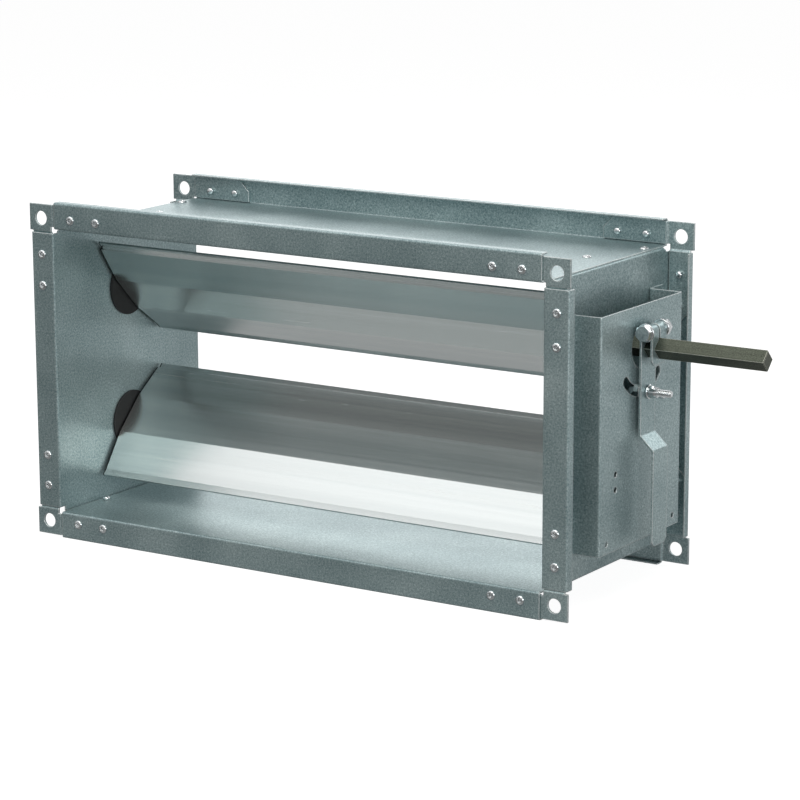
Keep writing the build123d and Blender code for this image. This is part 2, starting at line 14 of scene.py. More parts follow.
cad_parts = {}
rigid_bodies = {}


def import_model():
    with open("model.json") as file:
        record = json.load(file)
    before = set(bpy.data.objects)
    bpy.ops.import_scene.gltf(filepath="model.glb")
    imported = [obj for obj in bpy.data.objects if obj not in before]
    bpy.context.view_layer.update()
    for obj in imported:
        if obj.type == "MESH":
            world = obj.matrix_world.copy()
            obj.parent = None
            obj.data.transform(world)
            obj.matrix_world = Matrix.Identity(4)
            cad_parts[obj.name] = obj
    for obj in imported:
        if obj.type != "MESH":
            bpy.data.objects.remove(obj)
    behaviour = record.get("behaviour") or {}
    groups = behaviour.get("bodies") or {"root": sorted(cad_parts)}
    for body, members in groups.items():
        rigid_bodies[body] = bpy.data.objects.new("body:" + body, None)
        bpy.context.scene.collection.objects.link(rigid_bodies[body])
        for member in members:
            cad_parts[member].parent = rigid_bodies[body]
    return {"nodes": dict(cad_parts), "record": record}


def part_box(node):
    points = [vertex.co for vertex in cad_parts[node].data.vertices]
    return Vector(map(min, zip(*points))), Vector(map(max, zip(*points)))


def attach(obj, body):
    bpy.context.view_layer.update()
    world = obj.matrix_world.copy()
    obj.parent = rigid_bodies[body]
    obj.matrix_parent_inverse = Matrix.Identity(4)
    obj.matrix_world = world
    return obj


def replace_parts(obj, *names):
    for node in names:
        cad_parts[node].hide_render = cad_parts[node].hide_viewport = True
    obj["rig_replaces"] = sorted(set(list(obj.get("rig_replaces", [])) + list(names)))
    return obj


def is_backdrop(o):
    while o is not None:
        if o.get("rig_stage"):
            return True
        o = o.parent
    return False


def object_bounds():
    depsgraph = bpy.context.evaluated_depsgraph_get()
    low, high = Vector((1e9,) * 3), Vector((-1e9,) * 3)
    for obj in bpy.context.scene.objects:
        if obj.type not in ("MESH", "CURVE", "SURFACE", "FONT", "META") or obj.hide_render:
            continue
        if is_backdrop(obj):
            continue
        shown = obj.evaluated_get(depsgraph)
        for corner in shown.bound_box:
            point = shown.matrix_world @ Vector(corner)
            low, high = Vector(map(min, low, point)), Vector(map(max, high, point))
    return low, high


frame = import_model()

MM = 0.001
LOG = logging.getLogger("damper")
WELD = 0.000001
EDGE_GAIN = 6.0
EDGE_SAMPLES = 6
OVERCUT = 0.01 * MM
ORIGIN = Vector((0, 0, 0))

Colour = tuple[float, float, float]
Scale = tuple[float, float, float]
Profile = Sequence[tuple[float, float]]


class Slot(Enum):
    """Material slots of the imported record."""

    SHEET = "galvanised_sheet"
    BLADE = "aluminium"
    PLASTIC = "black_plastic"
    ZINC = "zinc_fastener"
    BAR = "passivated_bar"


class Axis(Enum):
    """Ways that a turned piece can point."""

    FORWARD = (0.0, -1.0, 0.0)
    BACKWARD = (0.0, 1.0, 0.0)
    OUTWARD = (1.0, 0.0, 0.0)
    UP = (0.0, 0.0, 1.0)
    DOWN = (0.0, 0.0, -1.0)

    @property
    def vector(self) -> Vector:
        """The direction as a vector.

        Returns:
            The vector.
        """
        return Vector(self.value)


# --- shader graphs ---------------------------------------------------------------------------


class Value:
    """A number that changes over a surface; Python's arithmetic on it adds Math nodes."""

    def __init__(self, graph: "Graph", socket: bpy.types.NodeSocket) -> None:
        """Wrap an output socket of a graph's node.

        Args:
            graph: Graph that the node belongs to.
            socket: The socket.
        """
        self.graph = graph
        self.socket = socket

    def _math(self, operation: str, first: "Value | float", second: "Value | float") -> "Value":
        """Add a Math node for two operands and return its result.

        Args:
            operation: Blender's name of the operation.
            first: First operand.
            second: Second operand.

        Returns:
            The node's result.
        """
        return self.graph.node("ShaderNodeMath", {"operation": operation}, {0: first, 1: second})

    def __add__(self, other: "Value | float") -> "Value":
        """Sum.

        Args:
            other: Value or number on the other side.

        Returns:
            Their sum.
        """
        return self._math("ADD", self, other)

    __radd__ = __add__

    def __sub__(self, other: "Value | float") -> "Value":
        """Difference.

        Args:
            other: Value or number on the other side.

        Returns:
            Their difference.
        """
        return self._math("SUBTRACT", self, other)

    def __rsub__(self, other: "Value | float") -> "Value":
        """Difference from a plain number.

        Args:
            other: Value or number on the other side.

        Returns:
            The number less this value.
        """
        return self._math("SUBTRACT", other, self)

    def __mul__(self, other: "Value | float") -> "Value":
        """Product.

        Args:
            other: Value or number on the other side.

        Returns:
            Their product.
        """
        return self._math("MULTIPLY", self, other)

    __rmul__ = __mul__

    def maximum(self, other: "Value | float") -> "Value":
        """The larger of the two.

        Args:
            other: Value or number on the other side.

        Returns:
            The larger.
        """
        return self._math("MAXIMUM", self, other)

    def clamped(self) -> "Value":
        """The value held between 0 and 1.

        Returns:
            The held value.
        """
        settings = {"operation": "ADD", "use_clamp": True}
        return self.graph.node("ShaderNodeMath", settings, {0: self, 1: 0.0})


class Graph:
    """Node tree of a material or of the world, built node by node."""

    def __init__(self, tree: bpy.types.NodeTree) -> None:
        """Start from an empty tree.

        Args:
            tree: The node tree to fill.
        """
        self.tree = tree
        tree.nodes.clear()

    def node(
        self, kind: str, settings: dict | None = None, inputs: dict | None = None, output: str | int = 0
    ) -> Value:
        """Add a node.

        Args:
            kind: Blender's type name of the node.
            settings: The node's own settings, set first; "stops" fills a colour ramp.
            inputs: Values or links of its sockets, by name or number.
            output: Name or number of the socket to return.

        Returns:
            The wrapped output socket.
        """
        made = self.tree.nodes.new(kind)
        for name, setting in (settings or {}).items():
            if name == "stops":
                self._fill_ramp(made.color_ramp, setting)
            else:
                setattr(made, name, setting)
        for key, given in (inputs or {}).items():
            socket = made.inputs[key]
            if isinstance(given, Value):
                self.tree.links.new(given.socket, socket)
            else:
                socket.default_value = given
        return Value(self, made.outputs[output]) if made.outputs else Value(self, None)

    @staticmethod
    def _fill_ramp(ramp: bpy.types.ColorRamp, stops: Sequence[tuple[float, Colour]]) -> None:
        """Set a colour ramp's stops.

        Args:
            ramp: The ramp.
            stops: Place and colour of each stop.
        """
        while len(ramp.elements) < len(stops):
            ramp.elements.new(0.5)
        for element, (place, colour) in zip(ramp.elements, stops):
            element.position = place
            element.color = (*colour, 1.0)

    def coordinates(self, scale: Scale = (1.0, 1.0, 1.0)) -> Value:
        """Object coordinates, stretched along the axes.

        Args:
            scale: Stretch along X, Y and Z.

        Returns:
            The coordinates.
        """
        place = self.node("ShaderNodeTexCoord", output="Object")
        return self.node("ShaderNodeMapping", inputs={"Vector": place, "Scale": scale})

    def noise(self, where: Value, scale: float, detail: float = 2.0, roughness: float = 0.5) -> Value:
        """Noise between 0 and 1 at a number of cells to the metre.

        Args:
            where: Coordinates.
            scale: Cells to the metre.
            detail: Layers of finer noise.
            roughness: Weight of the finer layers.

        Returns:
            The noise.
        """
        inputs = {"Vector": where, "Scale": scale, "Detail": detail, "Roughness": roughness}
        return self.node("ShaderNodeTexNoise", inputs=inputs, output=0)

    def ramp(self, factor: Value, stops: Sequence[tuple[float, Colour]]) -> Value:
        """Colour from a factor between 0 and 1.

        Args:
            factor: Place on the ramp.
            stops: Place and colour of each stop.

        Returns:
            The colour.
        """
        return self.node("ShaderNodeValToRGB", {"stops": stops}, {"Fac": factor}, "Color")

    def mix(self, factor: Value, first: Value | Colour, second: Value | Colour) -> Value:
        """Colour between two others.

        Args:
            factor: Share of the second.
            first: Colour at 0.
            second: Colour at 1.

        Returns:
            The colour.
        """
        sides = [c if isinstance(c, Value) else (*c, 1.0) for c in (first, second)]
        return self.node(
            "ShaderNodeMix", {"data_type": "RGBA"}, {0: factor, 6: sides[0], 7: sides[1]}, 2)

    def rounded_edge(self, radius: float) -> tuple[Value, Value]:
        """Normal that rounds sharp edges, and how much of an edge each point is.

        Args:
            radius: Radius of the rounding in metres.

        Returns:
            The softened normal and the edge mask.
        """
        soft = self.node("ShaderNodeBevel", {"samples": EDGE_SAMPLES}, {"Radius": radius})
        plain = self.node("ShaderNodeNewGeometry", output="Normal")
        along = self.node("ShaderNodeVectorMath", {"operation": "DOT_PRODUCT"}, {0: soft, 1: plain}, "Value")
        return soft, ((1.0 - along) * EDGE_GAIN).clamped()

    def bump(self, height: Value, distance: float, strength: float, normal: Value) -> Value:
        """Normal of a surface with small relief.

        Args:
            height: Relief.
            distance: Its depth in metres.
            strength: Its strength.
            normal: Normal it starts from.

        Returns:
            The normal.
        """
        inputs = {"Strength": strength, "Distance": distance, "Height": height, "Normal": normal}
        return self.node("ShaderNodeBump", inputs=inputs, output="Normal")

    def surface(self, **sockets: Value | float | Colour) -> None:
        """Finish the graph with a Principled shader; underscores stand for spaces.

        Args:
            **sockets: The shader's inputs by name.
        """
        inputs = {}
        for name, given in sockets.items():
            colour = isinstance(given, tuple) and len(given) == 3
            inputs[name.replace("_", " ")] = (*given, 1.0) if colour else given
        shader = self.node("ShaderNodeBsdfPrincipled", inputs=inputs)
        self.node("ShaderNodeOutputMaterial", inputs={"Surface": shader})


def new_material(name: str) -> tuple[bpy.types.Material, Graph]:
    """Make a node material.

    Args:
        name: The material's name.

    Returns:
        The material and its empty graph.
    """
    material = bpy.data.materials.new(name)
    material.use_nodes = True
    return material, Graph(material.node_tree)


# --- finishes --------------------------------------------------------------------------------


@dataclass(frozen=True)
class GalvanisedSheet:
    """Zinc-coated sheet with fine spangle, soft clouds and bright edges that are partly wear and partly
    painted highlight.
    """

    name: str = "galvanised_sheet"
    dark: Colour = (0.12, 0.19, 0.205)
    middle: Colour = (0.32, 0.425, 0.44)
    pale: Colour = (0.64, 0.75, 0.75)
    edge_wear_and_highlight: Colour = (0.92, 0.96, 0.96)
    metallic: float = 0.62
    roughness: float = 0.27
    spangle: float = 1500.0
    cloud: float = 16.0
    contrast: float = 1.5
    edge_radius: float = 1.0 * MM
    relief: float = 0.10 * MM

    def make(self) -> bpy.types.Material:
        """Build the material.

        Returns:
            The material.
        """
        material, graph = new_material(self.name)
        where = graph.coordinates()
        spangle = graph.noise(where, self.spangle, 3.0, 0.6)
        flecks = graph.noise(where, self.spangle * 0.45, 2.0, 0.5)
        cloud = graph.noise(where, self.cloud, 2.0, 0.55)
        tone = 0.5 + (spangle - 0.5) * (0.8 * self.contrast) + (flecks - 0.5) * (0.5 * self.contrast)
        tone = (tone + (cloud - 0.5) * 0.55).clamped()
        # Edge mask: lightens bends and cut edges to near-white and makes them less metallic; partly wear,
        # partly a painted highlight.
        normal, edge_wear_and_highlight_mask = graph.rounded_edge(self.edge_radius)
        colour = graph.ramp(tone, [(0.12, self.dark), (0.5, self.middle), (0.9, self.pale)])
        graph.surface(
            Base_Color=graph.mix(edge_wear_and_highlight_mask, colour, self.edge_wear_and_highlight),
            Metallic=self.metallic - edge_wear_and_highlight_mask * 0.35,
            Roughness=(self.roughness + spangle * 0.12 + cloud * 0.1) - edge_wear_and_highlight_mask * 0.12,
            Normal=graph.bump(spangle * 0.4 + cloud * 6.0, self.relief, 0.6, normal),
        )
        return material


@dataclass(frozen=True)
class ExtrudedAluminium:
    """Mill-finish extrusion with long die lines and painted shade at its ends, where the gap to the wall
    falls dark.
    """

    name: str = "extruded_aluminium"
    dark: Colour = (0.56, 0.60, 0.60)
    pale: Colour = (0.84, 0.87, 0.86)
    edge_wear_and_highlight: Colour = (0.95, 0.96, 0.97)
    roughness: float = 0.16
    lines: Scale = (1.2, 420.0, 420.0)
    bands: Scale = (0.9, 95.0, 95.0)
    grain: Scale = (40.0, 1500.0, 1500.0)
    edge_radius: float = 0.3 * MM
    relief: float = 0.04 * MM
    # Painted shade: a near-black colour on the last 0.9 mm of each blade end stands in for the shadow in the
    # gap to the wall.
    end_gap_shade: Colour = (0.015, 0.016, 0.017)
    end_gap_shade_gain: float = 1e6
    end_gap_shade_from: float = field(default_factory=lambda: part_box("blade_upper")[1].x - 0.9 * MM)

    def make(self) -> bpy.types.Material:
        """Build the material.

        Returns:
            The material.
        """
        material, graph = new_material(self.name)
        along = graph.node("ShaderNodeSeparateXYZ", inputs={0: graph.coordinates()}, output="X")
        # Mask of the painted gap shade at the blade ends.
        in_end_gap_shade = ((along * along - self.end_gap_shade_from**2) * self.end_gap_shade_gain).clamped()
        lines = graph.noise(graph.coordinates(self.lines), 1.0, 3.0, 0.6)
        bands = graph.noise(graph.coordinates(self.bands), 1.0, 2.0, 0.5)
        grain = graph.noise(graph.coordinates(self.grain), 1.0, 2.0, 0.5)
        tone = (0.5 + (lines - 0.5) * 0.35 + (bands - 0.5) * 0.6 + (grain - 0.5) * 0.15).clamped()
        # Edge mask: lightens the extrusion's edges toward near-white; partly wear, partly a painted
        # highlight.
        normal, edge_wear_and_highlight_mask = graph.rounded_edge(self.edge_radius)
        colour = graph.mix(edge_wear_and_highlight_mask, graph.ramp(tone, [(0.15, self.dark), (0.85, self.pale)]), self.edge_wear_and_highlight)
        graph.surface(
            Base_Color=graph.mix(in_end_gap_shade, colour, self.end_gap_shade),
            Metallic=0.95,
            Roughness=self.roughness + lines * 0.12 + grain * 0.05,
            Normal=graph.bump(lines * 0.5 + bands * 1.5, self.relief, 0.35, normal),
        )
        return material


@dataclass(frozen=True)
class MouldedPlastic:
    """Black moulded plastic with a faint sheen."""

    name: str = "moulded_plastic"
    colour: Colour = (0.005, 0.0055, 0.006)
    worn_and_edge_highlight: Colour = (0.022, 0.023, 0.025)
    grain: float = 2200.0
    patch: float = 120.0
    edge_radius: float = 0.3 * MM
    relief: float = 0.05 * MM

    def make(self) -> bpy.types.Material:
        """Build the material.

        Returns:
            The material.
        """
        material, graph = new_material(self.name)
        where = graph.coordinates()
        grain = graph.noise(where, self.grain, 2.0, 0.5)
        patch = graph.noise(where, self.patch, 2.0, 0.5)
        # Random patches and the edge mask lift the black toward a lighter grey: the patches are wear, the
        # edge share is partly wear and partly a painted highlight.
        normal, edge_wear_and_highlight_mask = graph.rounded_edge(self.edge_radius)
        graph.surface(
            Base_Color=graph.mix((patch * 0.4 + edge_wear_and_highlight_mask * 0.6).clamped(), self.colour, self.worn_and_edge_highlight),
            Roughness=0.45 + patch * 0.18,
            Normal=graph.bump(grain, self.relief, 0.4, normal),
        )
        return material


@dataclass(frozen=True)
class ZincPlate:
    """Bright zinc plating of screws, nuts, washers and rivets."""

    name: str = "zinc_plate"
    dark: Colour = (0.50, 0.53, 0.54)
    pale: Colour = (0.86, 0.89, 0.90)
    edge_wear_and_highlight: Colour = (0.96, 0.97, 0.98)
    patch: float = 350.0
    grain: float = 3000.0
    edge_radius: float = 0.2 * MM
    relief: float = 0.02 * MM

    def make(self) -> bpy.types.Material:
        """Build the material.

        Returns:
            The material.
        """
        material, graph = new_material(self.name)
        where = graph.coordinates()
        patch = graph.noise(where, self.patch, 3.0, 0.6)
        grain = graph.noise(where, self.grain, 2.0, 0.5)
        # Edge mask: lightens the edges toward white; partly wear, partly a painted highlight.
        normal, edge_wear_and_highlight_mask = graph.rounded_edge(self.edge_radius)
        colour = graph.ramp(patch, [(0.3, self.dark), (0.7, self.pale)])
        graph.surface(
            Base_Color=graph.mix(edge_wear_and_highlight_mask, colour, self.edge_wear_and_highlight),
            Metallic=1.0,
            Roughness=0.06 + patch * 0.10 + grain * 0.04,
            Normal=graph.bump(grain, self.relief, 0.3, normal),
        )
        return material


@dataclass(frozen=True)
class PassivatedSteel:
    """Olive passivated square bar with a drawn, grainy surface."""

    name: str = "passivated_steel"
    dark: Colour = (0.035, 0.040, 0.030)
    pale: Colour = (0.13, 0.145, 0.112)
    edge_wear_and_highlight: Colour = (0.88, 0.90, 0.80)
    grain: float = 1400.0
    drawn: Scale = (25.0, 700.0, 700.0)
    edge_radius: float = 0.6 * MM
    relief: float = 0.06 * MM

    def make(self) -> bpy.types.Material:
        """Build the material.

        Returns:
            The material.
        """
        material, graph = new_material(self.name)
        grain = graph.noise(graph.coordinates(), self.grain, 3.0, 0.7)
        drawn = graph.noise(graph.coordinates(self.drawn), 1.0, 2.0, 0.5)
        # Edge mask: turns the bar's edges pale; partly wear, partly a painted highlight of the bright line
        # along them.
        normal, edge_wear_and_highlight_mask = graph.rounded_edge(self.edge_radius)
        tone = (0.5 + (grain - 0.5) * 1.8 + (drawn - 0.5) * 0.3).clamped()
        colour = graph.ramp(tone, [(0.2, self.dark), (0.8, self.pale)])
        graph.surface(
            Base_Color=graph.mix(edge_wear_and_highlight_mask, colour, self.edge_wear_and_highlight),
            Metallic=0.85,
            Roughness=0.30 + grain * 0.16,
            Normal=graph.bump(grain, self.relief, 0.5, normal),
        )
        return material


Finish = GalvanisedSheet | ExtrudedAluminium | MouldedPlastic | ZincPlate | PassivatedSteel


@dataclass
class Paintshop:
    """Keeps one material for each slot and dresses pieces with it."""

    finishes: dict[Slot, Finish] = field(
        default_factory=lambda: {
            Slot.SHEET: GalvanisedSheet(),
            Slot.BLADE: ExtrudedAluminium(),
            Slot.PLASTIC: MouldedPlastic(),
            Slot.ZINC: ZincPlate(),
            Slot.BAR: PassivatedSteel(),
        }
    )
    made: dict[Slot, bpy.types.Material] = field(default_factory=dict)

    def material(self, slot: Slot) -> bpy.types.Material:
        """Return a slot's material, made on first use.

        Args:
            slot: The slot.

        Returns:
            Its material.
        """
        if slot not in self.made:
            self.made[slot] = self.finishes[slot].make()
        return self.made[slot]

    def dress(self, piece: bpy.types.Object, slot: Slot) -> None:
        """Give a piece the material of a slot.

        Args:
            piece: The piece.
            slot: The slot.
        """
        piece.data.materials.clear()
        piece.data.materials.append(self.material(slot))


# --- bench work ------------------------------------------------------------------------------


def select_only(*pieces: bpy.types.Object) -> None:
    """Make these objects the whole selection, the first of them active.

    Args:
        *pieces: Objects to select, or none.
    """
    bpy.ops.object.select_all(action="DESELECT")
    for piece in pieces:
        piece.select_set(True)
    if pieces:
        bpy.context.view_layer.objects.active = pieces[0]


def pick_faces(piece: bpy.types.Object, wanted: Callable[[bmesh.types.BMFace], bool]) -> None:
    """Select in edit mode the faces that a test accepts.

    Args:
        piece: Object in edit mode.
        wanted: Test on a face.
    """
    mesh = bmesh.from_edit_mesh(piece.data)
    bpy.ops.mesh.select_mode(type="FACE")
    bpy.ops.mesh.select_all(action="DESELECT")
    for face in mesh.faces:
        face.select = wanted(face)
    mesh.select_flush_mode()
    bmesh.update_edit_mesh(piece.data)


def turned(name: str, profile: Profile, sides: int = 24, bored: bool = False) -> bpy.types.Object:
    """Turn a piece round Z by drawing one ring out into the next.

    Args:
        name: The object's name.
        profile: Radius and height of each ring in metres, from the bottom up or round a ring.
        sides: Facets round the piece.
        bored: Whether the profile closes on itself round an open bore.

    Returns:
        The closed piece.
    """
    select_only()
    radius, height = profile[0]
    bpy.ops.mesh.primitive_circle_add(
        vertices=sides, radius=radius, fill_type="NOTHING" if bored else "NGON", location=(0, 0, height))
    piece = bpy.context.object
    piece.name = name
    bpy.ops.object.transform_apply(location=True, rotation=True, scale=True)
    bpy.ops.object.mode_set(mode="EDIT")
    bpy.ops.mesh.select_mode(type="EDGE" if bored else "FACE")
    bpy.ops.mesh.select_all(action="SELECT")
    for next_radius, next_height in profile[1:]:
        bpy.ops.mesh.extrude_region_move(TRANSFORM_OT_translate={"value": (0, 0, next_height - height)})
        ratio = next_radius / radius
        bpy.ops.transform.resize(value=(ratio, ratio, 1), center_override=(0, 0, next_height))
        radius, height = next_radius, next_height
    bpy.ops.mesh.select_all(action="SELECT")
    bpy.ops.mesh.remove_doubles(threshold=WELD)
    bpy.ops.mesh.normals_make_consistent(inside=False)
    bpy.ops.object.mode_set(mode="OBJECT")
    return piece


def apply_modifier(piece: bpy.types.Object, kind: str, **settings: object) -> None:
    """Add a modifier with its settings and apply it.

    Args:
        piece: Object to change.
        kind: Blender's type name.
        **settings: The modifier's settings.
    """
    modifier = piece.modifiers.new(kind.title(), kind)
    for name, setting in settings.items():
        setattr(modifier, name, setting)
    select_only(piece)
    bpy.ops.object.modifier_apply(modifier=modifier.name)


def joined(name: str, pieces: Sequence[bpy.types.Object]) -> bpy.types.Object:
    """Join objects into one piece.

    Args:
        name: Name of the result.
        pieces: Objects to join.

    Returns:
        The one object.
    """
    select_only(*pieces)
    if len(pieces) > 1:
        bpy.ops.object.join()
    piece = bpy.context.object
    piece.name = name
    piece.data.name = name
    return piece


def copied(piece: bpy.types.Object) -> bpy.types.Object:
    """Copy an object with a mesh of its own.

    Args:
        piece: Object to copy.

    Returns:
        The copy.
    """
    twin = piece.copy()
    twin.data = piece.data.copy()
    bpy.context.scene.collection.objects.link(twin)
    return twin


def seated(piece: bpy.types.Object, seat: Vector, axis: Axis, turn: float = 0.0) -> bpy.types.Object:
    """Move a piece made upright at the origin to its seat.

    Args:
        piece: The piece, along +Z.
        seat: Where its origin goes.
        axis: Way that its Z axis then points.
        turn: Its turn about that axis in degrees.

    Returns:
        The same piece, with its place in its mesh.
    """
    piece.rotation_mode = "QUATERNION"
    upright = axis.vector.to_track_quat("Z", "Y")
    piece.rotation_quaternion = upright @ Quaternion((0, 0, 1), math.radians(turn))
    piece.location = seat
    select_only(piece)
    bpy.ops.object.transform_apply(location=True, rotation=True, scale=True)
    return piece


def smoothed(piece: bpy.types.Object, degrees: float = 35.0) -> bpy.types.Object:
    """Shade a piece smooth, but for edges sharper than an angle.

    Args:
        piece: The piece.
        degrees: The angle.

    Returns:
        The same piece.
    """
    select_only(piece)
    bpy.ops.object.shade_smooth_by_angle(angle=math.radians(degrees))
    return piece


def solids(node: str) -> list[tuple[Vector, Vector]]:
    """Find the separate solids of a CAD node.

    Args:
        node: Name of the node.

    Returns:
        The lowest and highest corner of each solid, in order along X, Y and Z.
    """
    mesh = frame["nodes"][node].data
    keys = [tuple(round(c / WELD) for c in vertex.co) for vertex in mesh.vertices]
    parent = {key: key for key in keys}

    def root(key: tuple) -> tuple:
        """Follow a point to the one that stands for its solid.

        Args:
            key: The point.

        Returns:
            The solid's point.
        """
        while parent[key] != key:
            parent[key] = parent[parent[key]]
            key = parent[key]
        return key

    for polygon in mesh.polygons:
        first, *others = (keys[index] for index in polygon.vertices)
        for other in others:
            parent[root(other)] = root(first)
    groups: dict[tuple, list[Vector]] = {}
    for key, vertex in zip(keys, mesh.vertices):
        groups.setdefault(root(key), []).append(vertex.co)
    boxes = []
    for points in groups.values():
        low = Vector(min(p[i] for p in points) for i in range(3))
        high = Vector(max(p[i] for p in points) for i in range(3))
        boxes.append((low, high))
    return sorted(boxes, key=lambda box: tuple(round(c, 5) for c in box[0]))


def body_of(node: str) -> str:
    """Name of the body that a CAD node rides on.

    Args:
        node: Name of the node.

    Returns:
        The body's name.
    """
    bodies = frame["record"]["behaviour"]["bodies"]
    return next(body for body, members in bodies.items() if node in members)


def stand_in(piece: bpy.types.Object, node: str, slot: Slot, shop: Paintshop) -> None:
    """Let a finished piece stand for a CAD node, on its body and in its finish.

    Args:
        piece: The piece.
        node: Name of the node.
        slot: Material slot.
        shop: Where the finish comes from.
    """
    shop.dress(piece, slot)
    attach(piece, body_of(node))
    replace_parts(piece, node)
    LOG.info("%s stands for %s, %d faces", piece.name, node, len(piece.data.polygons))


# --- the damper's pieces ---------------------------------------------------------------------


@dataclass
class Rivets:
    """Blind rivets with domed heads, a snapped mandrel in the bore and a swelled tail."""

    node: str
    facing: Callable[[Vector], Axis]
    head_radius: float = 3.3 * MM
    head_height: float = 1.3 * MM
    shank_radius: float = 2.0 * MM
    tail_radius: float = 2.7 * MM
    tail_length: float = 3.0 * MM
    sides: int = 20

    def profile(self, grip: float) -> list[tuple[float, float]]:
        """Rings of a rivet from the tail's tip to the mandrel inside its head.

        Args:
            grip: Thickness of what the rivet holds.

        Returns:
            Radius and height of each ring.
        """
        head, rise = self.head_radius, self.head_height
        tail, length = self.tail_radius, self.tail_length
        tip = -grip - length
        return [
            (tail * 0.40, tip), (tail * 0.52, tip + length * 0.06),
            (tail * 0.80, tip + length * 0.16), (tail * 0.97, tip + length * 0.38),
            (tail, tip + length * 0.62), (tail * 0.90, tip + length * 0.90),
            (self.shank_radius, -grip), (self.shank_radius, 0.0),
            (head * 0.97, 0.0), (head, rise * 0.12), (head * 0.98, rise * 0.32),
            (head * 0.88, rise * 0.66), (head * 0.72, rise * 0.90), (head * 0.56, rise),
            (head * 0.49, rise * 0.96), (head * 0.44, rise * 0.80), (head * 0.42, rise * 0.08),
            (head * 0.26, rise * 0.05), (head * 0.24, rise * 0.36),
            (head * 0.12, rise * 0.44)]

    def build(self, shop: Paintshop) -> None:
        """Model one rivet and set a copy of it at each of the node's places.

        Args:
            shop: Where the finish comes from.
        """
        boxes = solids(self.node)
        length = abs((boxes[0][1] - boxes[0][0]).dot(self.facing(boxes[0][0]).vector))
        grip = length - self.head_height - self.tail_length
        model = smoothed(turned(self.node + "_model", self.profile(grip), self.sides))
        copies = []
        for low, high in boxes:
            axis = self.facing(low)
            seat = (low + high) / 2 + axis.vector * (length / 2 - self.head_height)
            copies.append(seated(copied(model), seat, axis))
        bpy.data.objects.remove(model)
        piece = joined(self.node + "_dressed", copies)
        stand_in(piece, self.node, Slot.ZINC, shop)


